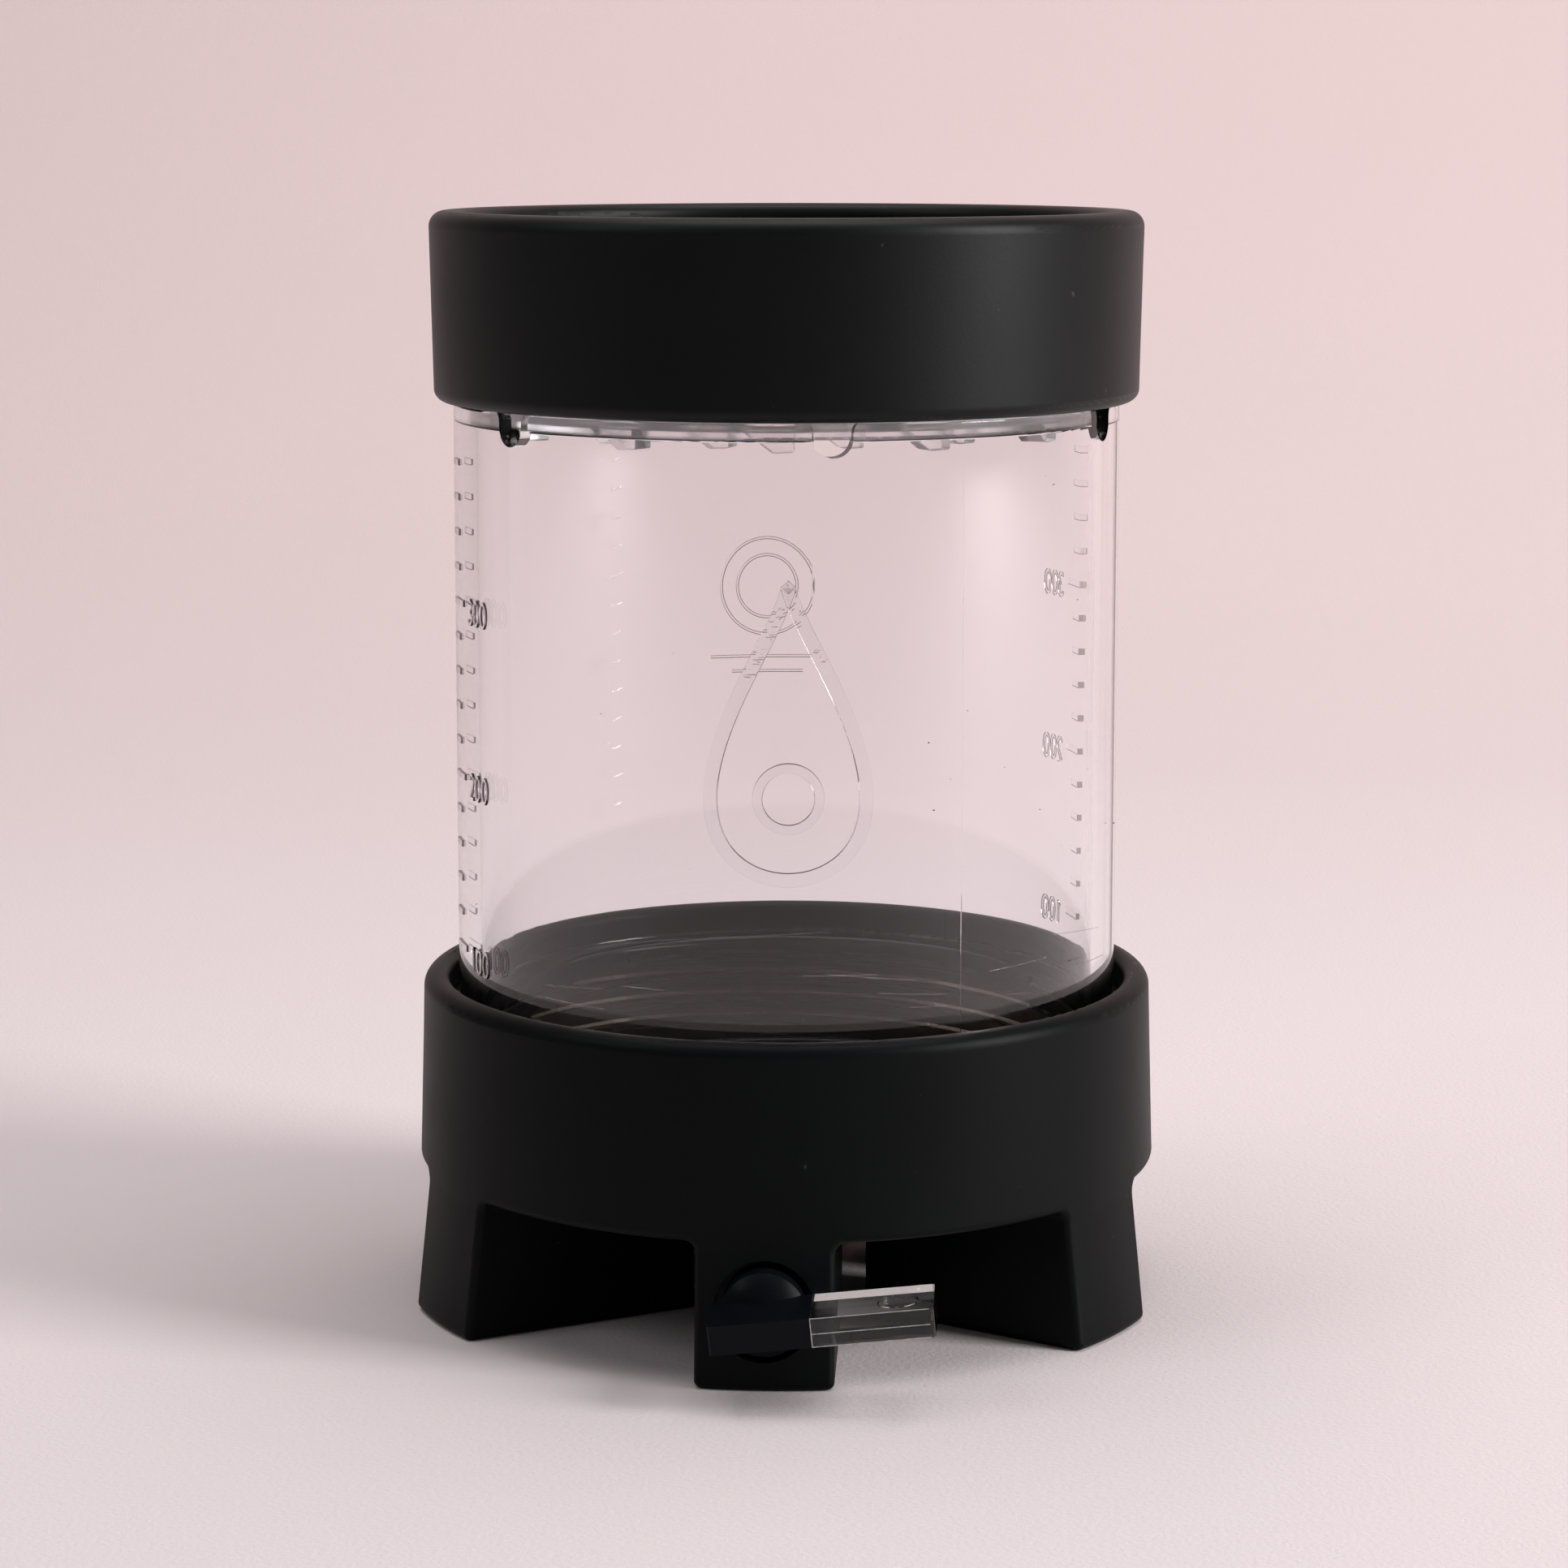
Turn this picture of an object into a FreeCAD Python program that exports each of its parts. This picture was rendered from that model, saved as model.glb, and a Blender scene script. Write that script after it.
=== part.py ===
"""Clear graduated brewing tank with a drip cap on top and a footed base that holds a lever drain valve.

Millimetres. +Z is up and z = 0 is the plane under the feet. The origin is on the tank's axis.
The lever foot faces -Y. An azimuth is measured from -Y towards +X, which is a turn about +Z.
Each function returns one sub-part, and the table at the end names the files they are written to.
"""

import FreeCAD, Part
import math
import os

V = FreeCAD.Vector
ORIGIN = V(0, 0, 0)
UP = V(0, 0, 1)

# Tank tube
TUBE_R = 41.15
TUBE_WALL = 2.8
BORE_R = TUBE_R - TUBE_WALL
TUBE_TOP = 112.0
TUBE_BOTTOM = 22.4
CAP_LEDGE_Z = 109.7
CAP_BORE_R = 39.4
VENT_COUNT = 6
VENT_AZIMUTH = 10.7
VENT_WIDTH = 4.6
VENT_BOTTOM = 107.8
VENT_SHOULDER_R = 1.4

# Screw thread between the tube and the base cup, two starts, right-handed
THREAD_LEAD = 6.0
THREAD_STARTS = 2
THREAD_BOTTOM = 24.4
THREAD_TURNS = 1.6
TUBE_THREAD_ROOT = 39.9
TUBE_THREAD_CREST = 41.05
CUP_THREAD_ROOT = 41.4
CUP_THREAD_CREST = 40.25
RIB_ROOT_WIDTH = 1.4
RIB_CREST_WIDTH = 0.6
EMBED = 0.3  # how far a fused rib reaches into the wall that carries it

# Drip cap: bowl, perforated plate and soft sleeve
CAP_TOP = 135.1
SLEEVE_R_TOP = 44.0
SLEEVE_R_BOTTOM = 43.5
SLEEVE_BOTTOM = 111.9
BOWL_R = 41.5
BOWL_INNER_R = 39.3
BOWL_TOP = 131.9
PLUG_R = 39.1
PLATE_R = 36.9
PLATE_Z = 110.5
PLATE_THICK = 1.9
HOLE_R = 0.8
HOLE_RING_STEP = 5.4
HOLE_RINGS = 5
DRIP_COUNT = 12
DRIP_RINGS = ((34.2, 0.0), (28.4, 15.0))  # radius and azimuth of the first ramp
DRIP_TIP_Z = 108.0
DRIP_LENGTH = 5.6
DRIP_WIDTH = 3.0

# Base: soft boot with feet over a rigid cup
FEET = 6
FOOT_WIDTH = 16.4
FOOT_HEIGHT = 17.0
FOOT_INNER_R = 16.8
FOOT_DRAFT = math.radians(0.75)  # taper of each side, narrower towards the axis
GAP_ROUNDING = 1.3
BOOT_R_FLOOR = 48.0
BOOT_R_KNEE = 46.2
BOOT_KNEE_Z = 16.0
BOOT_R_RIM = 45.5
BOOT_TOP = 40.4
BOOT_LIP_R = 42.4
BOOT_WALL = 1.6
BOOT_FLOOR_TOP = 18.6
CUP_HUB_Z = 16.9
CUP_R = 42.85
CUP_TOP = 36.4
SLIP = 0.1  # gap between the boot and the cup inside it
SCREEN_SEAT_Z = 20.6
SCREEN_R = 40.0
SCREEN_THICK = 0.4
PAPER_THICK = 0.25
SEAL_INNER_R = 37.6
SEAL_R = 39.85
FUNNEL_R = 38.2
FUNNEL_EDGE_Z = 20.3
FUNNEL_CENTRE_Z = 18.6
SUPPORT_RIBS = 6

# Drain valve, turning about a line along Y through the front foot
VALVE_Z = 9.3
BARREL_R = 6.5
BARREL_BORE_R = 4.6
BARREL_BACK_Y = 8.5
BARREL_FRONT_Y = -43.6
PORT_R = 2.4
SEAT_R = 3.9
SEAT_HALF = 5.5
RUNNING_GAP = 0.05
RING_BODY_R = 0.6  # half the thickness of a sealing ring
RING_YS = (-8.4, 7.2)
CLIP_FLOOR_R = 3.0
CLIP_R = 5.0
LEVER_HUB_R = 5.0
LEVER_WINDOW_R = 5.9
LEVER_BACK_Y = -48.2
LEVER_DEPTH = 9.6
LEVER_HEIGHT = 3.4
LEVER_RISE = 0.3  # the arm's middle above the valve's axis
LEVER_SHORT_END = 5.7
LEVER_JOINT_X = 6.0
LEVER_LONG_END = 20.1
LEVER_END_ROUNDING = 0.5
LEVER_TILT = 6.0


def outline(corners, place):
    """Closed wire through (u, v, radius) corners, each rounded by a tangent arc of its own radius."""
    count = len(corners)
    bends = []
    for i, (u, v, radius) in enumerate(corners):
        here = V(u, v, 0)
        back = (V(*corners[i - 1][:2], 0) - here).normalize()
        onward = (V(*corners[(i + 1) % count][:2], 0) - here).normalize()
        if radius == 0:
            bends.append((here, None, here))
            continue
        half = back.getAngle(onward) / 2
        reach = radius / math.tan(half)
        middle = here + (back + onward).normalize() * (radius / math.sin(half) - radius)
        bends.append((here + back * reach, middle, here + onward * reach))
    edges = []
    for i, (enter, middle, leave) in enumerate(bends):
        if middle is not None:
            edges.append(Part.Arc(place(enter), place(middle), place(leave)).toShape())
        following = bends[(i + 1) % count][0]
        if leave.distanceToPoint(following) > 1e-6:
            edges.append(Part.LineSegment(place(leave), place(following)).toShape())
    return Part.Wire(edges)


def turned(*corners):
    """Solid of revolution about the tank's axis, from (radius, z) or (radius, z, rounding) corners."""
    full = [c if len(c) == 3 else (*c, 0) for c in corners]
    wire = outline(full, lambda p: V(p.x, 0, p.y))
    return Part.Face(wire).revolve(ORIGIN, UP, 360)


def disc(radius, low, high, x=0.0, y=0.0):
    """Upright cylinder."""
    return Part.makeCylinder(radius, high - low, V(x, y, low))


def rod(radius, low_y, high_y):
    """Cylinder along Y on the valve's axis."""
    return Part.makeCylinder(radius, high_y - low_y, V(0, low_y, VALVE_Z), V(0, 1, 0))


def block(low, high):
    """Box between two corners."""
    size = V(*high) - V(*low)
    return Part.makeBox(size.x, size.y, size.z, V(*low))


def turn(shape, azimuth):
    """A copy turned about the tank's axis."""
    copy = shape.copy()
    copy.rotate(ORIGIN, UP, azimuth)
    return copy


def around(shape, count, first=0.0):
    """Equally spaced copies about the tank's axis."""
    return [turn(shape, first + i * 360.0 / count) for i in range(count)]


def radial_block(width, inner_r, outer_r, low, high):
    """Box of constant width that runs outwards along -Y."""
    return block((-width / 2, -outer_r, low), (width / 2, -inner_r, high))


def helical_ribs(root_r, crest_r, low, phase):
    """Thread ribs, one per start. They stand on the wall at root_r and reach to crest_r."""
    embedded = root_r - math.copysign(EMBED, crest_r - root_r)
    ribs = []
    for start in range(THREAD_STARTS):
        height = THREAD_LEAD * THREAD_TURNS
        path = Part.makeHelix(THREAD_LEAD, height, crest_r)
        half_root = RIB_ROOT_WIDTH / 2
        half_crest = RIB_CREST_WIDTH / 2
        profile = Part.makePolygon([
            V(embedded, 0, -half_root),
            V(crest_r, 0, -half_crest),
            V(crest_r, 0, half_crest),
            V(embedded, 0, half_root),
            V(embedded, 0, -half_root),
        ])
        rib = Part.Wire(path.Edges).makePipeShell([profile], True, True)
        rib.translate(V(0, 0, low))
        ribs.append(turn(rib, phase + start * 360.0 / THREAD_STARTS))
    return ribs


def vent_cutter():
    """U-shaped slot through the front wall of the tube, flared where it meets the rim."""
    half = VENT_WIDTH / 2
    flare = half + VENT_SHOULDER_R
    above = TUBE_TOP + 1
    corners = [
        (-half, VENT_BOTTOM, half * 0.98),
        (half, VENT_BOTTOM, half * 0.98),
        (half, TUBE_TOP, VENT_SHOULDER_R * 0.99),
        (flare + 1, TUBE_TOP, 0),
        (flare + 1, above, 0),
        (-flare - 1, above, 0),
        (-flare - 1, TUBE_TOP, 0),
        (-half, TUBE_TOP, VENT_SHOULDER_R * 0.99),
    ]
    wire = outline(corners, lambda p: V(p.x, 0, p.y))
    return Part.Face(wire).extrude(V(0, -TUBE_R - 5, 0))


def tank_tube():
    """Clear tube: cap seat and air vents at the top, screw thread at the bottom."""
    body = turned(
        (BORE_R, TUBE_BOTTOM, 0.3),
        (TUBE_THREAD_ROOT, TUBE_BOTTOM, 0.3),
        (TUBE_THREAD_ROOT, 35.4),
        (TUBE_R, 36.8, 0.6),
        (TUBE_R, TUBE_TOP, 0.5),
        (CAP_BORE_R, TUBE_TOP, 0.4),
        (CAP_BORE_R, CAP_LEDGE_Z),
        (BORE_R, CAP_LEDGE_Z, 0.3),
    )
    body = body.cut(around(vent_cutter(), VENT_COUNT, VENT_AZIMUTH))
    return body.fuse(helical_ribs(TUBE_THREAD_ROOT, TUBE_THREAD_CREST, THREAD_BOTTOM, 0))


def tank_seal():
    """Flat soft ring between the tube's end and the screen."""
    top = TUBE_BOTTOM
    low = SCREEN_SEAT_Z + SCREEN_THICK
    return turned((SEAL_INNER_R, low, 0.3), (SEAL_R, low, 0.3), (SEAL_R, top, 0.3), (SEAL_INNER_R, top, 0.3))


def cap_bowl():
    """Clear ring wall of the cap, with a plug that drops into the tube and a lip that carries the plate."""
    return turned(
        (35.9, CAP_LEDGE_Z, 0.2),
        (PLUG_R, CAP_LEDGE_Z, 0.4),
        (PLUG_R, TUBE_TOP),
        (BOWL_R, TUBE_TOP, 0.3),
        (BOWL_R, BOWL_TOP, 0.5),
        (BOWL_INNER_R, BOWL_TOP, 0.5),
        (BOWL_INNER_R, 113.6, 1.0),
        (37.0, 112.6, 0.4),
        (37.0, PLATE_Z),
        (35.9, PLATE_Z),
    )


def drip_ramp():
    """Drip point under the plate: it deepens along its length and then stops."""
    half = DRIP_LENGTH / 2
    top = PLATE_Z + EMBED
    corners = [
        (-half, top, 0),
        (-half, PLATE_Z, 0),
        (half - 2.4, DRIP_TIP_Z, 0.4),
        (half, DRIP_TIP_Z + 0.1, 0.3),
        (half, top, 0),
    ]
    side = outline(corners, lambda p: V(p.x, 0, p.y))
    return Part.Face(side).extrude(V(0, -DRIP_WIDTH, 0))


def drip_plate():
    """Clear plate with rings of holes, which spreads the water, and two rings of drip points below it."""
    upper = PLATE_Z + PLATE_THICK
    plate = turned((0, PLATE_Z), (PLATE_R, PLATE_Z, 0.2), (PLATE_R, upper, 0.3), (0, upper))
    holes = [disc(HOLE_R, PLATE_Z - 1, upper + 1)]
    for ring in range(1, HOLE_RINGS + 1):
        hole = disc(HOLE_R, PLATE_Z - 1, upper + 1, 0, -ring * HOLE_RING_STEP)
        holes += around(hole, 6 * ring, 180.0 / (6 * ring))
    ramps = []
    for radius, first in DRIP_RINGS:
        ramp = drip_ramp()
        ramp.translate(V(0, -radius + DRIP_WIDTH / 2, 0))
        ramps += around(ramp, DRIP_COUNT, first)
    return plate.fuse(ramps).cut(holes)


def cap_sleeve():
    """Soft sleeve round the bowl. It folds over the rim and is slightly wider at the top."""
    return turned(
        (BOWL_R, SLEEVE_BOTTOM, 0.5),
        (SLEEVE_R_BOTTOM, SLEEVE_BOTTOM, 1.5),
        (SLEEVE_R_TOP, CAP_TOP, 1.9),
        (BOWL_INNER_R, CAP_TOP, 1.5),
        (BOWL_INNER_R, BOWL_TOP),
        (BOWL_R, BOWL_TOP),
    )


def filter_screen():
    """Perforated steel disc that carries the filter bed."""
    top = SCREEN_SEAT_Z + SCREEN_THICK
    plate = turned((0, SCREEN_SEAT_Z), (FUNNEL_R - 1.2, SCREEN_SEAT_Z), (FUNNEL_R - 1.2, top), (0, top))
    holes = []
    for ring in range(1, 8):
        hole = disc(0.7, SCREEN_SEAT_Z - 1, top + 1, 0, -ring * 4.8)
        holes += around(hole, 6 * ring)
    return plate.cut(holes)


def filter_paper():
    """Paper disc that lies on the screen, inside the seal."""
    low = SCREEN_SEAT_Z + SCREEN_THICK
    return disc(SEAL_INNER_R - 0.3, low, low + PAPER_THICK)


def screen_rim():
    """Plain steel ring pressed round the screen. It is clamped between the cup and the seal."""
    top = SCREEN_SEAT_Z + SCREEN_THICK
    inner = FUNNEL_R - 1.2
    return turned((inner, SCREEN_SEAT_Z), (SCREEN_R, SCREEN_SEAT_Z), (SCREEN_R, top), (inner, top))


def prism(corners, low, high):
    """Upright prism over a closed list of (x, y) corners."""
    points = [V(x, y, low) for x, y in corners + corners[:1]]
    return Part.Face(Part.makePolygon(points)).extrude(V(0, 0, high - low))


def foot_gaps():
    """The wedges between the feet, with rounded upper corners, and the six-sided space inside them."""
    pitch = 2 * math.pi / FEET
    taper = math.tan(FOOT_DRAFT)
    apex = (FOOT_WIDTH / 2 - BOOT_R_FLOOR * taper) / (math.sin(pitch / 2) - math.cos(pitch / 2) * taper)
    far = BOOT_R_FLOOR + 10
    spread = (far - apex) * math.tan(pitch / 2 - FOOT_DRAFT)
    wedge = prism([(0, -apex), (spread, -far), (-spread, -far)], -1, FOOT_HEIGHT)
    upper = [e for e in wedge.Edges if e.BoundBox.ZMin > FOOT_HEIGHT - 0.01 and e.BoundBox.YLength > 1]
    wedge = wedge.makeFillet(GAP_ROUNDING, upper)
    corner_r = FOOT_INNER_R / math.cos(pitch / 2)
    angles = [(i + 0.5) * pitch for i in range(FEET)]
    middle = prism([(corner_r * math.sin(a), -corner_r * math.cos(a)) for a in angles], -1, FOOT_HEIGHT)
    return around(wedge, FEET, 180.0 / FEET) + [middle]


def base_boot():
    """Soft boot: skirt, rolled rim and six feet, each with a socket for a leg of the cup."""
    inside = CUP_R + SLIP
    body = turned(
        (FOOT_INNER_R - 1, 0),
        (BOOT_R_FLOOR, 0, 0.9),
        (BOOT_R_KNEE, BOOT_KNEE_Z, 12.0),
        (BOOT_R_RIM, BOOT_TOP, 1.7),
        (BOOT_LIP_R, BOOT_TOP, 1.2),
        (BOOT_LIP_R, CUP_TOP + 0.2, 0.4),
        (inside, CUP_TOP + 0.2),
        (inside, BOOT_FLOOR_TOP),
        (FOOT_INNER_R - 1, BOOT_FLOOR_TOP),
    )
    body = body.cut(foot_gaps() + [disc(FOOT_INNER_R, FOOT_HEIGHT - 1, BOOT_FLOOR_TOP + 1)])
    corners = [e for e in body.Edges if is_foot_corner(e)]
    body = body.makeFillet(0.9, corners)
    socket = radial_block(
        FOOT_WIDTH - 2 * BOOT_WALL, FOOT_INNER_R + BOOT_WALL, BOOT_R_KNEE - BOOT_WALL, 1.8, BOOT_FLOOR_TOP + 1
    )
    body = body.cut(around(socket, FEET))
    window = rod(LEVER_WINDOW_R, -BOOT_R_FLOOR - 1, -BOOT_R_KNEE + 5)
    passage = rod(BARREL_R + SLIP, -FOOT_INNER_R - BOOT_WALL - 1, -FOOT_INNER_R + 1)
    return body.cut([window, passage])


def is_foot_corner(edge):
    """True for an edge between a foot's side and its outer face."""
    box = edge.BoundBox
    upright = box.ZLength > 8 and box.ZMax < FOOT_HEIGHT + 0.1
    middle = edge.valueAt((edge.FirstParameter + edge.LastParameter) / 2)
    return upright and math.hypot(middle.x, middle.y) > BOOT_R_KNEE - 1


def cup_shell():
    """Turned part of the cup: threaded wall, screen seat and shallow funnel."""
    return turned(
        (0, FUNNEL_CENTRE_Z),
        (FUNNEL_R, FUNNEL_EDGE_Z),
        (FUNNEL_R, SCREEN_SEAT_Z),
        (CUP_THREAD_ROOT, SCREEN_SEAT_Z),
        (CUP_THREAD_ROOT, CUP_TOP, 0.4),
        (CUP_R, CUP_TOP, 0.4),
        (CUP_R, BOOT_FLOOR_TOP),
        (FOOT_INNER_R - 0.4, BOOT_FLOOR_TOP),
        (FOOT_INNER_R - 0.4, CUP_HUB_Z, 0.6),
        (0, CUP_HUB_Z),
    )


def cup_legs():
    """Legs that fill the boot's feet."""
    width = FOOT_WIDTH - 2 * BOOT_WALL - 2 * SLIP
    inner = FOOT_INNER_R + BOOT_WALL + SLIP
    outer = BOOT_R_KNEE - BOOT_WALL - SLIP
    return around(radial_block(width, inner, outer, 1.8 + SLIP, BOOT_FLOOR_TOP + 0.2), FEET)


def base_cup():
    """Rigid cup: internal thread, funnel with ribs under the screen, legs and the valve's barrel."""
    rib = radial_block(1.2, 5.0, FUNNEL_R + 0.5, FUNNEL_CENTRE_Z + 0.1, SCREEN_SEAT_Z)
    solid = cup_shell()
    solid = solid.fuse(cup_legs() + around(rib, SUPPORT_RIBS, 30.0))
    barrel = rod(BARREL_R, BARREL_FRONT_Y, BARREL_BACK_Y)
    neck = disc(BARREL_R - 0.5, VALVE_Z, CUP_HUB_Z + 0.5)
    fin = block((-1.0, -FOOT_INNER_R + 0.6, VALVE_Z), (1.0, BARREL_BACK_Y, CUP_HUB_Z + 0.5))
    nipple = disc(3.5, 1.7, VALVE_Z)
    solid = solid.fuse([barrel, neck, fin, nipple])
    bore = rod(BARREL_BORE_R, BARREL_FRONT_Y - 1, BARREL_BACK_Y + 1)
    outlet = disc(PORT_R, 1, FUNNEL_CENTRE_Z + 2)
    hub_window = rod(LEVER_WINDOW_R, -BOOT_R_FLOOR, BARREL_FRONT_Y)
    solid = solid.cut([bore, outlet, hub_window])
    middle_phase = 180.0 / THREAD_STARTS
    return solid.fuse(helical_ribs(CUP_THREAD_ROOT, CUP_THREAD_CREST, THREAD_BOTTOM, middle_phase))


def outlet_tip():
    """Soft ring pressed on the nipple under the valve, which lets the last drop fall cleanly."""
    top = VALVE_Z - BARREL_R - 0.1
    return turned((PORT_R, 0.9, 0.4), (5.0, 0.9, 0.5), (5.0, top), (3.55, top), (3.55, 1.6), (PORT_R, 1.6))


def valve_seat():
    """Soft liner in the middle of the barrel, with a port above and below."""
    liner = rod(BARREL_BORE_R, -SEAT_HALF, SEAT_HALF).cut(rod(SEAT_R, -SEAT_HALF - 1, SEAT_HALF + 1))
    return liner.cut(disc(PORT_R, 0, 2 * VALVE_Z))


def tilted(shape):
    """The shape turned about the valve's axis to where the lever rests."""
    shape.rotate(V(0, 0, VALVE_Z), V(0, -1, 0), LEVER_TILT)
    return shape


def valve_stem():
    """Turning plug: a bearing land, two ring grooves, a cross hole, a clip groove and a square tang."""
    neck_r = SEAT_R - RUNNING_GAP
    land_end = RING_YS[0] - 2.4
    stem = rod(neck_r, land_end, BARREL_BACK_Y + 2.2)
    stem = stem.fuse(rod(BARREL_BORE_R - RUNNING_GAP, BARREL_FRONT_Y + 0.4, land_end))
    tang = block((-2.0, LEVER_BACK_Y + 0.6, VALVE_Z - 2.0), (2.0, BARREL_FRONT_Y + 0.4, VALVE_Z + 2.0))
    stem = stem.fuse(tang)
    for y in RING_YS:
        groove = rod(neck_r + 1, y - 0.75, y + 0.75).cut(rod(neck_r - 0.45, y - 1, y + 1))
        stem = stem.cut(groove)
    clip_y = BARREL_BACK_Y + 0.9
    clip_groove = rod(neck_r + 1, clip_y - 0.35, clip_y + 0.35).cut(rod(CLIP_FLOOR_R, clip_y - 1, clip_y + 1))
    cross_hole = Part.makeCylinder(PORT_R, 12, V(-6, 0, VALVE_Z), V(1, 0, 0))
    return tilted(stem.cut([clip_groove, cross_hole]))


def sealing_ring(y):
    """Round ring that lies in one of the stem's grooves."""
    neck_floor = SEAT_R - RUNNING_GAP - 0.45
    return Part.makeTorus(neck_floor + RING_BODY_R - 0.01, RING_BODY_R - 0.02, V(0, y, VALVE_Z), V(0, 1, 0))


def stem_clip():
    """Open spring clip in the groove behind the barrel. It stops the stem from sliding out."""
    y = BARREL_BACK_Y + 0.9
    ring = rod(CLIP_R, y - 0.3, y + 0.3).cut(rod(CLIP_FLOOR_R + 0.02, y - 1, y + 1))
    mouth = block((-2.4, y - 1, VALVE_Z - 6), (2.4, y + 1, VALVE_Z))
    return ring.cut(mouth)


def lever_bar(start, end):
    """Part of the arm, from start to end along X, before it is tilted."""
    low = VALVE_Z + LEVER_RISE - LEVER_HEIGHT / 2
    front = LEVER_BACK_Y - LEVER_DEPTH
    return block((start, front, low), (end, LEVER_BACK_Y, low + LEVER_HEIGHT))


def round_end(bar, x):
    """The bar with the two upright edges of its end face at x rounded."""
    upright = [e for e in bar.Edges if e.BoundBox.ZLength > 1 and abs(e.BoundBox.XMax - x) < 1e-3]
    return bar.makeFillet(LEVER_END_ROUNDING, [e for e in upright if e.BoundBox.YLength < 1e-3])


def lever_hub():
    """Black hub with a domed face in the foot's window, and the stub of the arm in front of it."""
    hub_back = BARREL_FRONT_Y - 0.1
    dome_rise = 2.0
    dome_r = (LEVER_HUB_R**2 + dome_rise**2) / (2 * dome_rise)
    hub = rod(LEVER_HUB_R, LEVER_BACK_Y - dome_rise, hub_back)
    dome = Part.makeSphere(dome_r, V(0, LEVER_BACK_Y - dome_rise + dome_r, VALVE_Z))
    hub = hub.common(dome.fuse(rod(LEVER_HUB_R + 1, LEVER_BACK_Y, hub_back + 1)))
    stub = round_end(lever_bar(-LEVER_SHORT_END, LEVER_JOINT_X), -LEVER_SHORT_END)
    socket = block((-2.02, LEVER_BACK_Y + 0.5, VALVE_Z - 2.02), (2.02, hub_back + 1, VALVE_Z + 2.02))
    return tilted(hub.fuse(stub).cut(socket))


def valve_lever():
    """Clear end of the arm, bonded to the hub's stub, with a thumb dimple on top."""
    arm = round_end(lever_bar(LEVER_JOINT_X, LEVER_LONG_END), LEVER_LONG_END)
    floor = VALVE_Z + LEVER_RISE + LEVER_HEIGHT / 2 - 0.4
    middle = V(LEVER_LONG_END - 4.1, LEVER_BACK_Y - 0.58 * LEVER_DEPTH, floor)
    return tilted(arm.cut(Part.makeCylinder(2.4, 1.0, middle)))


PARTS = {
    "cap_sleeve": cap_sleeve,
    "cap_bowl": cap_bowl,
    "drip_plate": drip_plate,
    "tank_tube": tank_tube,
    "tank_seal": tank_seal,
    "filter_screen": filter_screen,
    "screen_rim": screen_rim,
    "filter_paper": filter_paper,
    "base_cup": base_cup,
    "base_boot": base_boot,
    "outlet_tip": outlet_tip,
    "valve_seat": valve_seat,
    "valve_stem": valve_stem,
    "stem_ring_front": lambda: sealing_ring(RING_YS[0]),
    "stem_ring_back": lambda: sealing_ring(RING_YS[1]),
    "stem_clip": stem_clip,
    "lever_hub": lever_hub,
    "valve_lever": valve_lever,
}

os.makedirs("parts", exist_ok=True)
for name, make in PARTS.items():
    shape = make()
    shape.exportStep(f"parts/{name}.step")
    print(name, "solids", len(shape.Solids), "valid", shape.isValid(), "volume", round(shape.Volume, 1))
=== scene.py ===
"""Looks of the clear brewing tank: materials, raised scale, moulded marks, floor, light and camera.

Everything is in metres, in the frame of the CAD model. The tank's axis is the Z axis and the floor is z = 0.
"""

import math
import random

import bmesh
import bpy
from mathutils import Matrix, Vector


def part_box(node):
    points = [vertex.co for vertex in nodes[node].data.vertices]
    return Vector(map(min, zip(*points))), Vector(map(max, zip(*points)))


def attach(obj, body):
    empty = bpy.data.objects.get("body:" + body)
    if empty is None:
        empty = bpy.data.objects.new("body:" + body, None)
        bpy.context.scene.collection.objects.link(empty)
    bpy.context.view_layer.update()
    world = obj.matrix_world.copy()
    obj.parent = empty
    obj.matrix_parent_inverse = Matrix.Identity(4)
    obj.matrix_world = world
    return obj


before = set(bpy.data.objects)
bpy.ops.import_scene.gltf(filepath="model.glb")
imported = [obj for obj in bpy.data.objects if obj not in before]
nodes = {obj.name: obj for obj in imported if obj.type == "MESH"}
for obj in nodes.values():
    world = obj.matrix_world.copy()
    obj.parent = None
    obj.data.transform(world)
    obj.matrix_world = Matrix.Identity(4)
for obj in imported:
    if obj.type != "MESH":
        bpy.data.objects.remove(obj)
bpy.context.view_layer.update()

MM = 0.001

# Camera, set up as for a product photograph
CAMERA_AZIMUTH = math.radians(3.2)
CAMERA_DISTANCE = 0.5006
CAMERA_HEIGHT = 0.1462
CAMERA_PITCH = math.radians(7.49)
CAMERA_LENS = 92.8
CAMERA_SHIFT = (-0.0016, -0.0852)

# Colours, in linear light
# Pinker wall and cooler floor: a painted light tint, for the different colour of light falling on each
WALL_PINK = (0.72, 0.585, 0.582, 1)
FLOOR_PINK = (0.72, 0.645, 0.662, 1)
MOTTLE_PINK = (0.60, 0.52, 0.52, 1)
# Painted shade: grey for the floor near the viewer, standing for the dark room in front of the object
PAINTED_SHADE_NEAR_FLOOR_GREY = (0.30, 0.27, 0.27, 1)
SILICONE_BLACK = (0.0010, 0.0018, 0.0020, 1)
PLASTIC_BLACK = (0.0020, 0.0028, 0.0040, 1)
CLEAR_TINT = (0.985, 0.983, 0.992, 1)
CAP_TINT = (0.995, 0.985, 1.0, 1)
# Painted shade: dark tint for the steep flanks of the raised marks, standing for dark surroundings seen
# through them
PAINTED_SHADE_MARK_FLANK_TINT = (0.38, 0.34, 0.38, 1)


# ---------------------------------------------------------------- shader helpers


def new_material(name):
    """A material with an empty Principled shader. Returns the material, its node tree and the shader."""
    material = bpy.data.materials.new(name)
    material.use_nodes = True
    tree = material.node_tree
    shader = tree.nodes["Principled BSDF"]
    return material, tree, shader


def add(tree, kind, **inputs):
    """Adds a shader node and sets its sockets by name."""
    node = tree.nodes.new(kind)
    for name, value in inputs.items():
        node.inputs[name.replace("_", " ")].default_value = value
    return node


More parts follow.
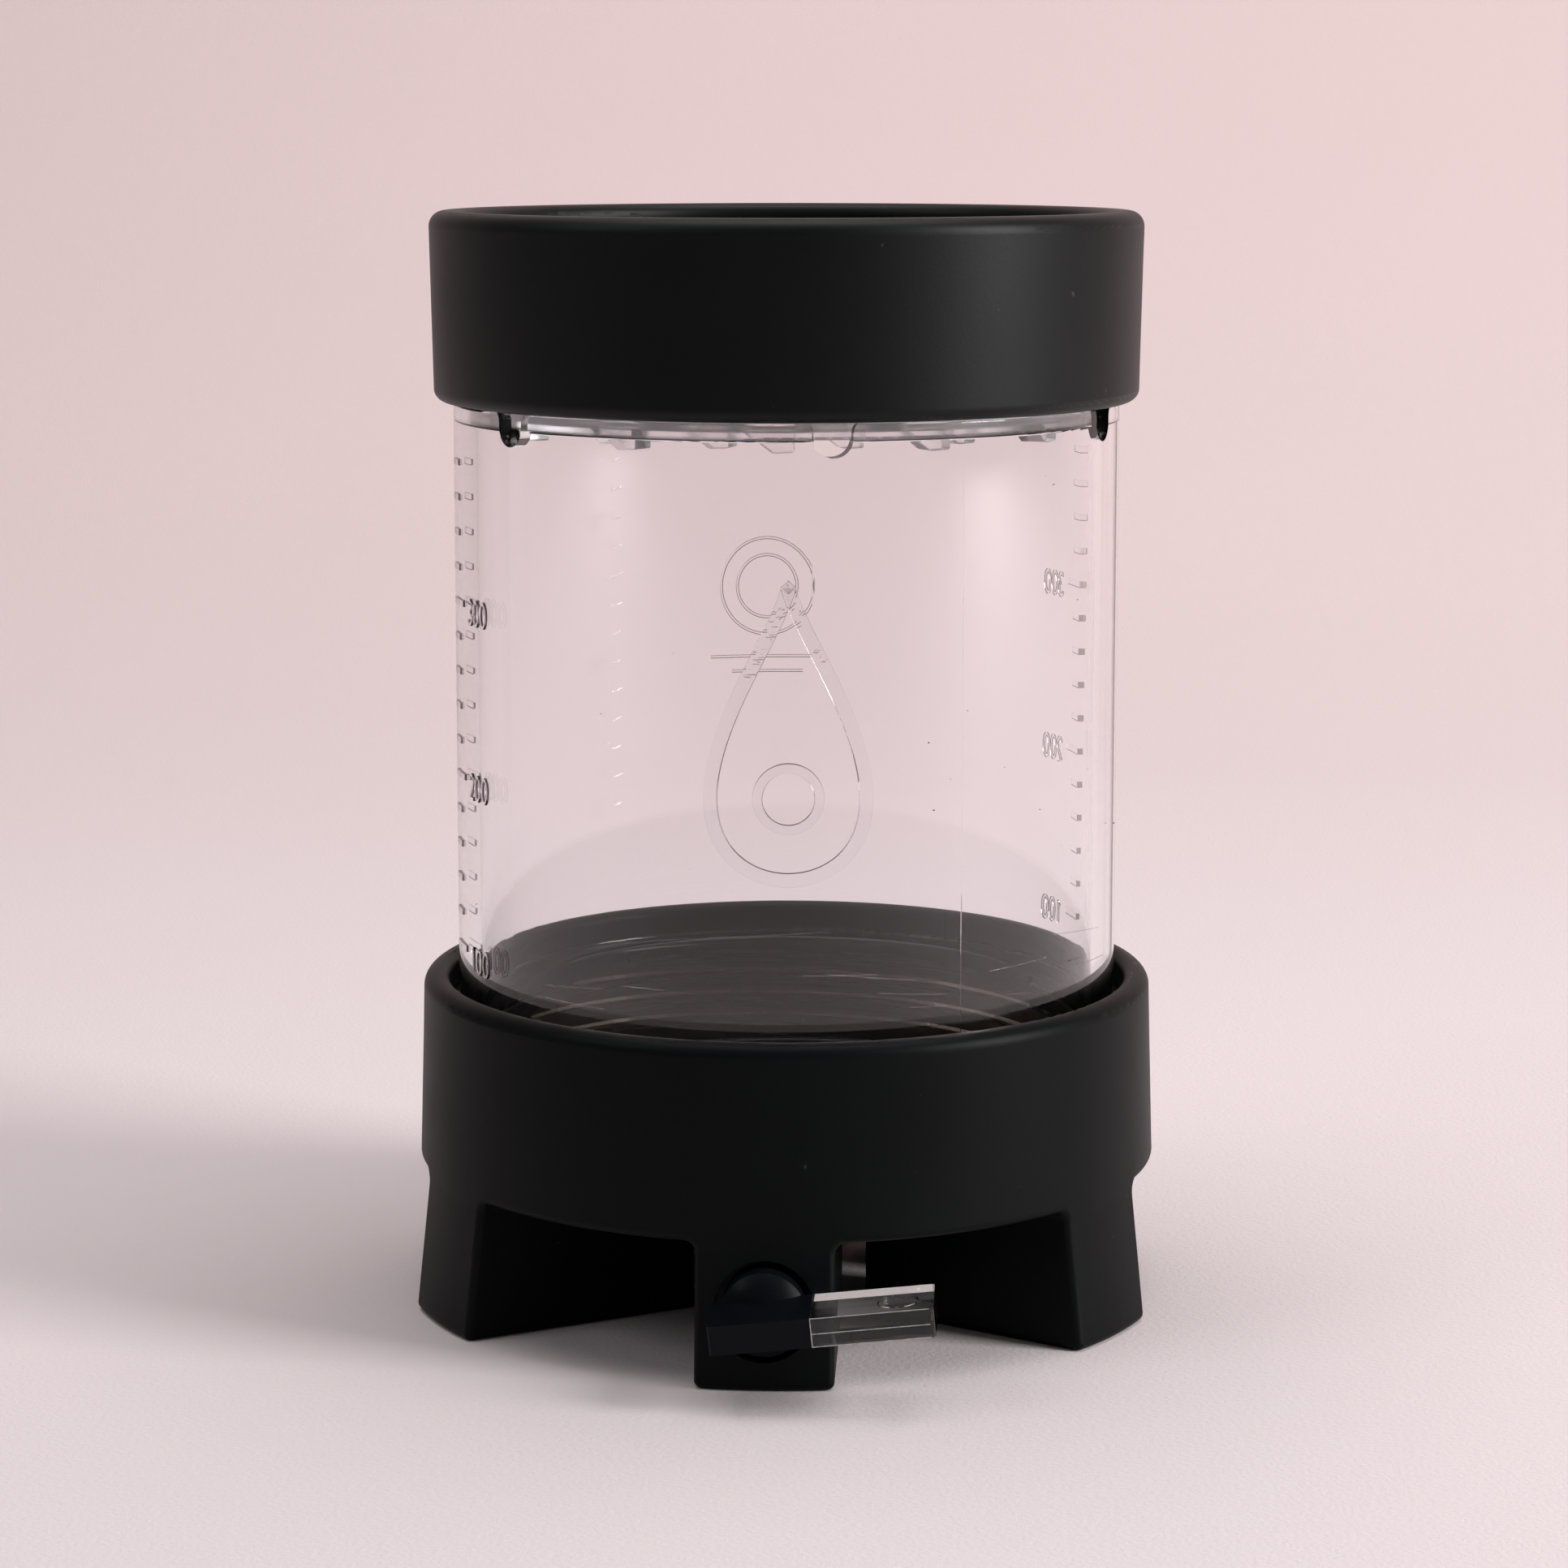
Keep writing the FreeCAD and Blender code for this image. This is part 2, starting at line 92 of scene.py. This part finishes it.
def place(tree, stretch=(1, 1, 1)):
    """Coordinates in metres on the object at rest, stretched by one factor per axis."""
    coordinates = tree.nodes.new("ShaderNodeTexCoord")
    mapping = tree.nodes.new("ShaderNodeMapping")
    mapping.inputs["Scale"].default_value = stretch
    tree.links.new(coordinates.outputs["Object"], mapping.inputs["Vector"])
    return mapping.outputs["Vector"]


def noise(tree, vector, scale, detail=3.0, roughness=0.5):
    """Noise value between 0 and 1."""
    node = add(tree, "ShaderNodeTexNoise", Scale=scale, Detail=detail, Roughness=roughness)
    tree.links.new(vector, node.inputs["Vector"])
    return node.outputs["Fac"]


def span(tree, value, low, high, out_low, out_high):
    """Maps the range low..high of a value to out_low..out_high, clamped."""
    node = add(tree, "ShaderNodeMapRange")
    node.inputs["From Min"].default_value = low
    node.inputs["From Max"].default_value = high
    node.inputs["To Min"].default_value = out_low
    node.inputs["To Max"].default_value = out_high
    tree.links.new(value, node.inputs["Value"])
    return node.outputs["Result"]


def math_node(tree, operation, first, second):
    """A math node on two values or sockets."""
    node = tree.nodes.new("ShaderNodeMath")
    node.operation = operation
    for socket, value in zip(node.inputs, (first, second)):
        if isinstance(value, (int, float)):
            socket.default_value = value
        else:
            tree.links.new(value, socket)
    return node.outputs["Value"]


def mix_colour(tree, factor, first, second):
    """A mix of two colours, fixed or from sockets, by a value."""
    node = tree.nodes.new("ShaderNodeMix")
    node.data_type = "RGBA"
    tree.links.new(factor, node.inputs[0])
    for socket, colour in ((node.inputs[6], first), (node.inputs[7], second)):
        if isinstance(colour, tuple):
            socket.default_value = colour
        else:
            tree.links.new(colour, socket)
    return node.outputs[2]


def bump(tree, shader, height, distance, strength=1.0):
    """Feeds a height value, worth distance metres at 1, to the shader's normal."""
    node = add(tree, "ShaderNodeBump", Strength=strength, Distance=distance)
    tree.links.new(height, node.inputs["Height"])
    tree.links.new(node.outputs["Normal"], shader.inputs["Normal"])


# ---------------------------------------------------------------- materials


def silicone(name, colour, gloss):
    """Matt moulded silicone: soft cloudiness, fine grain and a little pale dust."""
    material, tree, shader = new_material(name)
    cloud = noise(tree, place(tree), 45, 4)
    grain = noise(tree, place(tree), 2600, 2)
    dust = span(tree, noise(tree, place(tree), 700, 1), 0.80, 0.85, 0, 1)
    lighter = tuple(1.4 * c for c in colour[:3]) + (1,)
    base = mix_colour(tree, span(tree, cloud, 0.3, 0.7, 0, 1), colour, lighter)
    dusty = mix_colour(tree, dust, base, (0.03, 0.03, 0.03, 1))
    tree.links.new(dusty, shader.inputs["Base Color"])
    tree.links.new(span(tree, cloud, 0.25, 0.75, 0.42, 0.50), shader.inputs["Roughness"])
    shader.inputs["Specular IOR Level"].default_value = gloss
    height = math_node(tree, "ADD", math_node(tree, "MULTIPLY", grain, 0.25), cloud)
    bump(tree, shader, height, 0.00006, 0.6)
    return material


def clear_plastic(name, tint, roughness=0.012, ripple=0.0):
    """Clear moulded plastic: faint flow waviness, fine scratches, and ripples where asked for."""
    material, tree, shader = new_material(name)
    shader.inputs["Base Color"].default_value = tint
    shader.inputs["Transmission Weight"].default_value = 1.0
    shader.inputs["IOR"].default_value = 1.46
    flow = noise(tree, place(tree, (1, 1, 0.35)), 60, 2)
    line_a = noise(tree, place(tree, (40, 40, 900)), 1, 3, 0.6)
    line_b = noise(tree, place(tree, (700, 500, 45)), 1, 3, 0.6)
    scratch = math_node(
        tree,
        "MAXIMUM",
        span(tree, line_a, 0.79, 0.83, 0, 1),
        span(tree, line_b, 0.77, 0.81, 0, 1),
    )
    tree.links.new(span(tree, scratch, 0, 1, roughness, roughness + 0.2), shader.inputs["Roughness"])
    waves = math_node(tree, "MULTIPLY", noise(tree, place(tree, (6, 6, 260)), 1, 1), ripple)
    grooves = math_node(tree, "MULTIPLY", scratch, -0.2)
    height = math_node(tree, "ADD", math_node(tree, "ADD", flow, waves), grooves)
    bump(tree, shader, height, 0.00004, 0.35)
    return material


def painted_highlight_edge():
    """Whitish clear plastic for painted highlights along sharp edges, unevenly bright."""
    material, tree, shader = new_material("painted highlights of clear edges")
    highlight_unevenness = noise(tree, place(tree), 900, 2)
    # Painted highlight: whitish colour, made unevenly bright by the noise
    base = mix_colour(tree, highlight_unevenness, (0.20, 0.19, 0.21, 1), (0.80, 0.78, 0.79, 1))
    tree.links.new(base, shader.inputs["Base Color"])
    shader.inputs["Transmission Weight"].default_value = 0.25
    tree.links.new(span(tree, highlight_unevenness, 0.3, 0.7, 0.2, 0.35), shader.inputs["Roughness"])
    return material


def black_plastic(name, roughness, gloss):
    """Black moulded plastic, from satin to glossy."""
    material, tree, shader = new_material(name)
    cloud = noise(tree, place(tree), 80, 3)
    base = mix_colour(tree, cloud, PLASTIC_BLACK, (0.004, 0.005, 0.007, 1))
    tree.links.new(base, shader.inputs["Base Color"])
    tree.links.new(span(tree, cloud, 0.3, 0.7, roughness, 1.3 * roughness), shader.inputs["Roughness"])
    shader.inputs["Specular IOR Level"].default_value = gloss
    bump(tree, shader, noise(tree, place(tree), 1500, 2), 0.00003, 0.4)
    return material


def seal_rubber():
    """Smooth dark rubber of the seals."""
    material, tree, shader = new_material("seal rubber")
    cloud = noise(tree, place(tree), 200, 3)
    base = mix_colour(tree, cloud, (0.02, 0.02, 0.021, 1), (0.04, 0.04, 0.042, 1))
    tree.links.new(base, shader.inputs["Base Color"])
    tree.links.new(span(tree, cloud, 0.3, 0.7, 0.35, 0.5), shader.inputs["Roughness"])
    bump(tree, shader, cloud, 0.00003, 0.5)
    return material


def white_plastic():
    """Waxy white liner of the valve."""
    material, tree, shader = new_material("white plastic")
    cloud = noise(tree, place(tree), 300, 3)
    base = mix_colour(tree, cloud, (0.78, 0.78, 0.75, 1), (0.86, 0.86, 0.83, 1))
    tree.links.new(base, shader.inputs["Base Color"])
    shader.inputs["Subsurface Weight"].default_value = 0.15
    shader.inputs["Subsurface Scale"].default_value = 0.001
    tree.links.new(span(tree, cloud, 0.3, 0.7, 0.25, 0.35), shader.inputs["Roughness"])
    bump(tree, shader, cloud, 0.00002, 0.5)
    return material


def steel():
    """Brushed stainless steel, brushed along X."""
    material, tree, shader = new_material("steel")
    lines = noise(tree, place(tree, (60, 2600, 2600)), 1, 4, 0.6)
    base = mix_colour(tree, lines, (0.42, 0.42, 0.42, 1), (0.62, 0.62, 0.61, 1))
    tree.links.new(base, shader.inputs["Base Color"])
    shader.inputs["Metallic"].default_value = 1.0
    tree.links.new(span(tree, lines, 0.3, 0.7, 0.25, 0.42), shader.inputs["Roughness"])
    bump(tree, shader, lines, 0.00001, 0.6)
    return material


def paper():
    """Wet unbleached filter paper with fibres."""
    material, tree, shader = new_material("filter paper")
    fibre = noise(tree, place(tree), 900, 5, 0.7)
    base = mix_colour(tree, fibre, (0.15, 0.115, 0.085, 1), (0.24, 0.19, 0.14, 1))
    tree.links.new(base, shader.inputs["Base Color"])
    shader.inputs["Roughness"].default_value = 0.95
    bump(tree, shader, fibre, 0.0001, 0.8)
    return material


def stage_cloth():
    """Pale backdrop: a painted light tint, pinker on the wall and cooler on the floor; painted shade on the
    floor towards the viewer; a faint weave and mottling.
    """
    material, tree, shader = new_material("backdrop")
    mottle = span(tree, noise(tree, place(tree), 9, 4), 0.3, 0.7, 0.95, 1.0)
    weave = noise(tree, place(tree), 1400, 2)
    split = tree.nodes.new("ShaderNodeSeparateXYZ")
    tree.links.new(place(tree), split.inputs["Vector"])
    # Painted light tint: the cloth turns from the cooler floor colour to the pinker wall colour as it rises
    rise = span(tree, split.outputs["Y"], 0.15, 0.75, 0, 1)
    painted_light_hue = mix_colour(tree, rise, FLOOR_PINK, WALL_PINK)
    uneven = mix_colour(tree, mottle, MOTTLE_PINK, painted_light_hue)
    # Painted shade: the floor turns grey towards the viewer, for the dark room in front
    painted_shade_near = span(tree, split.outputs["Y"], -0.55, -0.13, 0.02, 1)
    tree.links.new(mix_colour(tree, painted_shade_near, PAINTED_SHADE_NEAR_FLOOR_GREY, uneven), shader.inputs["Base Color"])
    shader.inputs["Roughness"].default_value = 0.9
    shader.inputs["Specular IOR Level"].default_value = 0.1
    bump(tree, shader, weave, 0.00015, 0.5)
    return material


def assign(material, *names):
    """Gives CAD nodes a material, in every slot."""
    for name in names:
        mesh_object = nodes[name]
        if not mesh_object.material_slots:
            mesh_object.data.materials.append(material)
        for slot in mesh_object.material_slots:
            slot.material = material


SATIN_BLACK = black_plastic("satin black plastic", 0.28, 0.22)
SLEEVE_SILICONE = silicone("black silicone of the sleeve", SILICONE_BLACK, 0.20)
CLEAR = clear_plastic("clear plastic", CLEAR_TINT, ripple=0.1)
CLEAR_CAP = clear_plastic("frosted clear plastic of the cap", CAP_TINT, 0.25)
assign(SLEEVE_SILICONE, "cap_sleeve")
assign(silicone("black silicone of the boot", SILICONE_BLACK, 0.10), "base_boot")
assign(CLEAR, "tank_tube")
assign(CLEAR_CAP, "cap_bowl", "drip_plate")
assign(clear_plastic("clear lever plastic", (0.975, 0.975, 0.98, 1), 0.0), "valve_lever")
assign(SATIN_BLACK, "base_cup", "valve_stem")
assign(black_plastic("dull black plastic of the hub", 0.30, 0.08), "lever_hub")
assign(seal_rubber(), "tank_seal", "outlet_tip", "stem_ring_front", "stem_ring_back")
assign(white_plastic(), "valve_seat")
assign(steel(), "filter_screen", "screen_rim", "stem_clip")
assign(paper(), "filter_paper")


# ---------------------------------------------------------------- raised marks on the tank's wall

WALL_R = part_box("tank_tube")[1][0]
WALL_THICKNESS = 2.8 * MM
SUNK = 0.03 * MM  # how far a mark reaches into the wall under it
SHOULDER = 0.07 * MM  # width of a mark's steep flank

# The volume scale, in two columns given by their azimuth in degrees from the front
SCALE_AZIMUTHS = (-71, 109)
SCALE_100_Z = 45.1 * MM
SCALE_STEP = 4.27 * MM  # 20 ml
SCALE_TICK_COUNT = 15
TICK_START = -3.2 * MM
TICK_END = -0.2 * MM
LONG_TICK_END = 1.8 * MM
TICK_WIDTH = 0.85 * MM
MARK_RISE = 0.28 * MM
FIGURE_HEIGHT = 2.9 * MM
FIGURE_WIDTH = 1.45 * MM
FIGURE_START = 3.9 * MM
FIGURE_PITCH = 2.1 * MM
FIGURE_STROKE = 0.46 * MM

# The plain figures on the front and back walls
FRONT_AZIMUTH = 3.5
FRONT_RISE = 0.30 * MM
BACK_AZIMUTH = 187
BACK_RISE = 0.12 * MM
BACK_STROKE = 0.40 * MM
BACK_RING_CENTRE = (0, 84 * MM)

# Nicks inside the back wall
NICK_AZIMUTH = -140
NICK_LOW_Z = 55.9 * MM
NICK_STEP = 3.82 * MM
NICK_COUNT = 13
NICK_DEPTH = 0.09 * MM
NICK_FADE = 0.05  # how much shallower each nick is than the one below, as a share of the lowest

# The lever's arm, which is tilted about the valve's axis
VALVE_Z = 9.3 * MM
LEVER_TILT = 6.0
LEVER_FRONT_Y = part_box("valve_lever")[0][1]
# The lines along the lever's edges are painted highlights
LEVER_JOINT_X = 6.05 * MM
LEVER_LINE_END = 19.6 * MM
LEVER_LINE_HEIGHTS = (1.95 * MM, 0.15 * MM, -1.35 * MM)
LEVER_LINE_WIDTH = 0.10 * MM
LEVER_LINE_RISE = 0.03 * MM


def on_wall(azimuth, along, height, rise):
    """Point by the tube's outer wall: azimuth in degrees from the front, along it, up, and out."""
    angle = math.radians(azimuth) + along / WALL_R
    radius = WALL_R + rise
    return Vector((radius * math.sin(angle), -radius * math.cos(angle), height))


def finish_piece(name, mesh, materials, body, smooth=False):
    """Makes an object of a bmesh, gives it materials and lets it ride on a CAD body."""
    bmesh.ops.recalc_face_normals(mesh, faces=mesh.faces)
    data = bpy.data.meshes.new(name)
    mesh.to_mesh(data)
    mesh.free()
    for face in data.polygons:
        face.use_smooth = smooth
    piece = bpy.data.objects.new(name, data)
    for material in materials:
        data.materials.append(material)
    bpy.context.scene.collection.objects.link(piece)
    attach(piece, body)


def skin(mesh, rings, closed=False, flanks=()):
    """Faces between successive rings of corners, with caps on an open run.

    Sides whose number is in flanks get the second material, and so do the caps of such a run.
    """
    sides = len(rings[0])
    onward = rings[1:] + rings[:1] if closed else rings[1:]
    for here, there in zip(rings, onward):
        for k in range(sides):
            j = (k + 1) % sides
            face = mesh.faces.new((here[k], there[k], there[j], here[j]))
            face.material_index = 1 if k in flanks else 0
    if not closed:
        for ring in (rings[0], rings[-1]):
            mesh.faces.new(ring).material_index = 1 if flanks else 0


def add_ridge(mesh, azimuth, path, width, rise, closed=False):
    """Adds a flat-topped raised line with steep flanks that follows (along, up) points on the wall."""
    count = len(path)
    half = width / 2
    profile = ((-half, -SUNK), (SHOULDER - half, rise), (half - SHOULDER, rise), (half, -SUNK))
    rings = []
    for i, point in enumerate(path):
        before = path[i - 1] if i > 0 or closed else point
        after = path[(i + 1) % count] if i < count - 1 or closed else point
        run = (Vector(after) - Vector(before)).normalized()
        across = Vector((-run.y, run.x))
        spots = [(Vector(point) + across * offset, level) for offset, level in profile]
        rings.append([mesh.verts.new(on_wall(azimuth, spot.x, spot.y, level)) for spot, level in spots])
    skin(mesh, rings, closed, flanks=(0, 2))


def straight(start, end, steps):
    """Evenly spaced (along, up) points from start to end."""
    first = Vector(start)
    last = Vector(end)
    return [tuple(first.lerp(last, i / steps)) for i in range(steps + 1)]


def ridge_piece(name, materials, ridges):
    """One piece on the tank made of several raised lines, each (azimuth, path, width, rise, closed)."""
    mesh = bmesh.new()
    for azimuth, path, width, rise, closed in ridges:
        add_ridge(mesh, azimuth, path, width, rise, closed)
    finish_piece(name, mesh, materials, "tank")


def scale_ticks(materials):
    """Two columns of ticks, one for each 20 ml from 100 to 380, with longer ones at each hundred."""
    for side, azimuth in zip(("left", "right"), SCALE_AZIMUTHS):
        ridges = []
        for tick in range(SCALE_TICK_COUNT):
            end = LONG_TICK_END if tick % 5 == 0 else TICK_END
            height = SCALE_100_Z + tick * SCALE_STEP
            line = straight((TICK_START, height), (end, height), 6)
            ridges.append((azimuth, line, TICK_WIDTH, MARK_RISE, False))
        ridge_piece(f"scale_ticks_{side}", materials, ridges)


def arc(centre, radii, start, end, steps):
    """(along, up) points on an ellipse, anticlockwise from one angle in degrees to another."""
    angles = [math.radians(start + (end - start) * i / steps) for i in range(steps + 1)]
    return [(centre[0] + radii[0] * math.cos(a), centre[1] + radii[1] * math.sin(a)) for a in angles]


def figure_path(figure):
    """Stroke of a figure in a cell one unit wide and high, and whether it closes on itself."""
    if figure == "0":
        return arc((0.5, 0.5), (0.5, 0.5), 0, 350, 35), True
    if figure == "1":
        return [(0.2, 0.78), (0.55, 1.0), (0.55, 0.5), (0.55, 0.0)], False
    if figure == "2":
        return arc((0.5, 0.72), (0.46, 0.28), 170, -35, 16) + [(0.08, 0.0), (0.5, 0.0), (1.0, 0.0)], False
    upper = arc((0.5, 0.75), (0.42, 0.25), 160, -85, 16)
    return upper + arc((0.5, 0.27), (0.48, 0.27), 80, -160, 20), False


def scale_figures(materials):
    """The hundreds beside their ticks in both columns."""
    for side, azimuth in zip(("left", "right"), SCALE_AZIMUTHS):
        for hundred in (1, 2, 3):
            low = SCALE_100_Z + (hundred - 1) * 5 * SCALE_STEP - 0.75 * FIGURE_HEIGHT
            ridges = []
            for place_in_row, figure in enumerate(f"{hundred}00"):
                start = FIGURE_START + place_in_row * FIGURE_PITCH
                stroke, closed = figure_path(figure)
                path = [(start + x * FIGURE_WIDTH, low + y * FIGURE_HEIGHT) for x, y in stroke]
                ridges.append((azimuth, path, FIGURE_STROKE, MARK_RISE, closed))
            ridge_piece(f"scale_{hundred}00_{side}", materials, ridges)


def ring_path(centre, radius, count=72):
    """Closed circle of (along, up) points."""
    angles = [2 * math.pi * i / count for i in range(count)]
    return [(centre[0] + radius * math.cos(a), centre[1] + radius * math.sin(a)) for a in angles]


def drop_path(centre, radius, tail, count=96):
    """Closed outline of a falling drop: round below, drawn up to a point above."""
    points = []
    for i in range(count):
        angle = 2 * math.pi * i / count
        up = math.cos(angle)
        along = math.sin(angle) * math.sin(angle / 2) ** 1.6
        points.append((centre[0] + radius * 1.55 * along, centre[1] + tail * up))
    return points


def moulded_marks(materials):
    """Plain moulded figures: a drop and a ring on the front wall, two rings and two bars on the back."""
    front = [
        (FRONT_AZIMUTH, drop_path((0, 76 * MM), 8.5 * MM, 17 * MM), 1.7 * MM, FRONT_RISE, True),
        (FRONT_AZIMUTH, ring_path((0, 68.5 * MM), 3.6 * MM), 1.2 * MM, FRONT_RISE, True),
    ]
    ridge_piece("moulded_drop", materials, front)
    back = [
        (BACK_AZIMUTH, ring_path(BACK_RING_CENTRE, radius), BACK_STROKE, BACK_RISE, True)
        for radius in (6.5 * MM, 4.2 * MM)
    ]
    for half, height, steps in ((8 * MM, 74.5 * MM, 24), (5 * MM, 72.5 * MM, 16)):
        bar = straight((-half, height), (half, height), steps)
        back.append((BACK_AZIMUTH, bar, BACK_STROKE, BACK_RISE, False))
    ridge_piece("moulded_rings_back", materials, back)


def parting_line(material):
    """Faint line down the front of the tube where the mould halves met."""
    low = 38 * MM
    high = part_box("tank_tube")[1][2] - 6 * MM
    line = (33, straight((0, low), (0, high), 2), 0.14 * MM, 0.005 * MM, False)
    ridge_piece("parting_line", (material, material), [line])


def turning_marks():
    """A column of short slanted nicks inside the tube's back wall, which catch the key light."""
    chance = random.Random(11)
    mesh = bmesh.new()
    for nick in range(NICK_COUNT):
        middle = NICK_LOW_Z + nick * NICK_STEP
        reach = chance.uniform(0.7, 1.1) * MM
        slant = chance.uniform(0.15, 0.30)
        rings = []
        for i in range(7):
            along = reach * (i / 3 - 1)
            depth = NICK_DEPTH * (1 - NICK_FADE * nick) * math.sin(math.pi * (i + 0.5) / 7)
            height = middle - slant * along
            spots = ((height + 0.22 * MM, -SUNK), (height - 0.05 * MM, depth), (height - 0.12 * MM, -SUNK))
            ring = [on_wall(NICK_AZIMUTH, along, up, -WALL_THICKNESS - level) for up, level in spots]
            rings.append([mesh.verts.new(point) for point in ring])
        skin(mesh, rings)
    material = clear_plastic("clear nicks of the wall", CLEAR_TINT, 0.03)
    material.node_tree.nodes["Principled BSDF"].inputs["Specular IOR Level"].default_value = 1.0
    finish_piece("turning_marks", mesh, (material,), "tank")


def hair_scratches(material):
    """Fine handling scratches on the lower front of the tube."""
    chance = random.Random(23)
    ridges = []
    for _ in range(12):
        azimuth = chance.uniform(-45, 62)
        height = chance.uniform(42, 50) * MM
        length = chance.uniform(3, 13) * MM
        slope = chance.uniform(-0.12, 0.12)
        line = straight((0, height), (length, height + slope * length), 8)
        ridges.append((azimuth, line, 0.06 * MM, 0.004 * MM, False))
    ridge_piece("hair_scratches", (material, material), ridges)


def sleeve_seam(material):
    """Thin moulding line round the sleeve, just under its rounded upper edge."""
    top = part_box("cap_sleeve")[1][2]
    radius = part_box("cap_sleeve")[1][0]
    mesh = bmesh.new()
    profile = ((-0.2, 2.00), (0.03, 2.03), (0.03, 2.13), (-0.2, 2.16))
    count = 240
    rings = []
    for i in range(count):
        angle = 2 * math.pi * i / count
        spots = [(radius - 0.045 * MM + out * MM, top - drop * MM) for out, drop in profile]
        rings.append([mesh.verts.new((r * math.cos(angle), r * math.sin(angle), z)) for r, z in spots])
    skin(mesh, rings, closed=True)
    finish_piece("sleeve_seam", mesh, (material,), "cap", smooth=True)


def on_lever(along, up):
    """Point on the front face of the lever's arm, given before the arm is tilted about the valve's axis."""
    tilt = math.radians(LEVER_TILT)
    x = along * math.cos(tilt) - up * math.sin(tilt)
    z = VALVE_Z + along * math.sin(tilt) + up * math.cos(tilt)
    return Vector((x, LEVER_FRONT_Y, z))


def lever_painted_highlights(material):
    """Thin whitish lines along the edges of the lever's clear end and across its bond to the stub, painted
    highlights of these edges.
    """
    lines = [((LEVER_JOINT_X, up), (LEVER_LINE_END, up)) for up in LEVER_LINE_HEIGHTS]
    lines.append(((LEVER_JOINT_X, LEVER_LINE_HEIGHTS[0]), (LEVER_JOINT_X, LEVER_LINE_HEIGHTS[-1])))
    mesh = bmesh.new()
    for start, end in lines:
        first = on_lever(*start)
        last = on_lever(*end)
        run = (last - first).normalized()
        across = run.cross(Vector((0, 1, 0))) * LEVER_LINE_WIDTH / 2
        out = Vector((0, -LEVER_LINE_RISE, 0))
        profile = (-across, out - across * 0.4, out + across * 0.4, across, -out)
        rings = [[mesh.verts.new(spot + corner) for corner in profile] for spot in (first, last)]
        skin(mesh, rings)
    finish_piece("lever_painted_highlights", mesh, (material,), "valve")


def dust_specks(material):
    """A few small dark specks of dust on the outside of the tube."""
    chance = random.Random(7)
    flatten = Matrix.Scale(0.5, 4, (0, 0, 1))
    mesh = bmesh.new()
    for _ in range(26):
        spot = on_wall(chance.uniform(-180, 180), 0, chance.uniform(42, 104) * MM, 0.01 * MM)
        size = chance.uniform(0.05, 0.16) * MM
        lay = Matrix.Translation(spot) @ flatten
        bmesh.ops.create_icosphere(mesh, subdivisions=1, radius=size, matrix=lay)
    finish_piece("dust_specks", mesh, (material,), "tank", smooth=True)


# The second material tints the steep flanks of the marks dark, as painted shade
MARKS = (
    clear_plastic("clear moulded marks", CLEAR_TINT),
    clear_plastic("clear flanks of the marks with painted shade", PAINTED_SHADE_MARK_FLANK_TINT, 0.05),
)
scale_ticks(MARKS)
scale_figures(MARKS)
moulded_marks(MARKS)
parting_line(MARKS[0])
turning_marks()
hair_scratches(MARKS[0])
sleeve_seam(SLEEVE_SILICONE)
lever_painted_highlights(painted_highlight_edge())
dust_specks(SATIN_BLACK)


# ---------------------------------------------------------------- floor, light and camera


def backdrop():
    """Floor that sweeps up into a wall behind the object, as one smooth sheet."""
    reach = 1.6
    wall = 0.9
    bend = 0.5
    rows = [(-reach, 0.0)]
    for step in range(13):
        angle = math.pi / 2 * step / 12
        rows.append((wall - bend + bend * math.sin(angle), bend - bend * math.cos(angle)))
    rows.append((wall, 2.2))
    mesh = bpy.data.meshes.new("backdrop")
    points = [(x, y, z) for y, z in rows for x in (-reach, reach)]
    faces = [(2 * i, 2 * i + 1, 2 * i + 3, 2 * i + 2) for i in range(len(rows) - 1)]
    mesh.from_pydata(points, [], faces)
    for face in mesh.polygons:
        face.use_smooth = True
    sheet = bpy.data.objects.new("backdrop", mesh)
    sheet.data.materials.append(stage_cloth())
    bpy.context.scene.collection.objects.link(sheet)


def area_light(name, place_at, target, size, power, colour=(1, 1, 1)):
    """Soft rectangular light that faces a target."""
    light = bpy.data.lights.new(name, "AREA")
    light.shape = "RECTANGLE"
    light.size, light.size_y = size
    light.energy = power
    light.color = colour
    lamp = bpy.data.objects.new(name, light)
    lamp.location = place_at
    direction = Vector(target) - Vector(place_at)
    lamp.rotation_euler = direction.to_track_quat("-Z", "Y").to_euler()
    bpy.context.scene.collection.objects.link(lamp)


def studio():
    """Tall soft key from the right, weak fill from the left, and a broad light over the backdrop."""
    middle = (0, 0, 0.07)
    area_light("key", (1.05, -0.33, 0.50), middle, (0.38, 0.8), 14.4, (1, 0.985, 0.975))
    area_light("fill", (-0.85, -0.46, 0.85), middle, (0.5, 0.5), 1.7, (0.98, 0.99, 1))
    area_light("top", (0.0, 0.15, 1.5), (0, 0.35, 0.0), (1.4, 1.0), 13.2, (1, 0.99, 0.985))
    world = bpy.data.worlds.new("surround")
    world.use_nodes = True
    world.node_tree.nodes["Background"].inputs["Color"].default_value = (1.0, 0.98, 0.98, 1)
    world.node_tree.nodes["Background"].inputs["Strength"].default_value = 0.14
    bpy.context.scene.world = world


def camera():
    """Camera at product height, a little above the middle, with a small downward shift."""
    data = bpy.data.cameras.new("camera")
    data.lens = CAMERA_LENS
    data.sensor_width = 36
    data.shift_x, data.shift_y = CAMERA_SHIFT
    data.clip_start = 0.01
    eye = bpy.data.objects.new("camera", data)
    side = math.sin(CAMERA_AZIMUTH) * CAMERA_DISTANCE
    eye.location = (side, -math.cos(CAMERA_AZIMUTH) * CAMERA_DISTANCE, CAMERA_HEIGHT)
    eye.rotation_euler = (math.pi / 2 - CAMERA_PITCH, 0, CAMERA_AZIMUTH)
    bpy.context.scene.collection.objects.link(eye)
    bpy.context.scene.camera = eye


camera()
backdrop()
studio()
bpy.context.scene.view_settings.view_transform = "Standard"
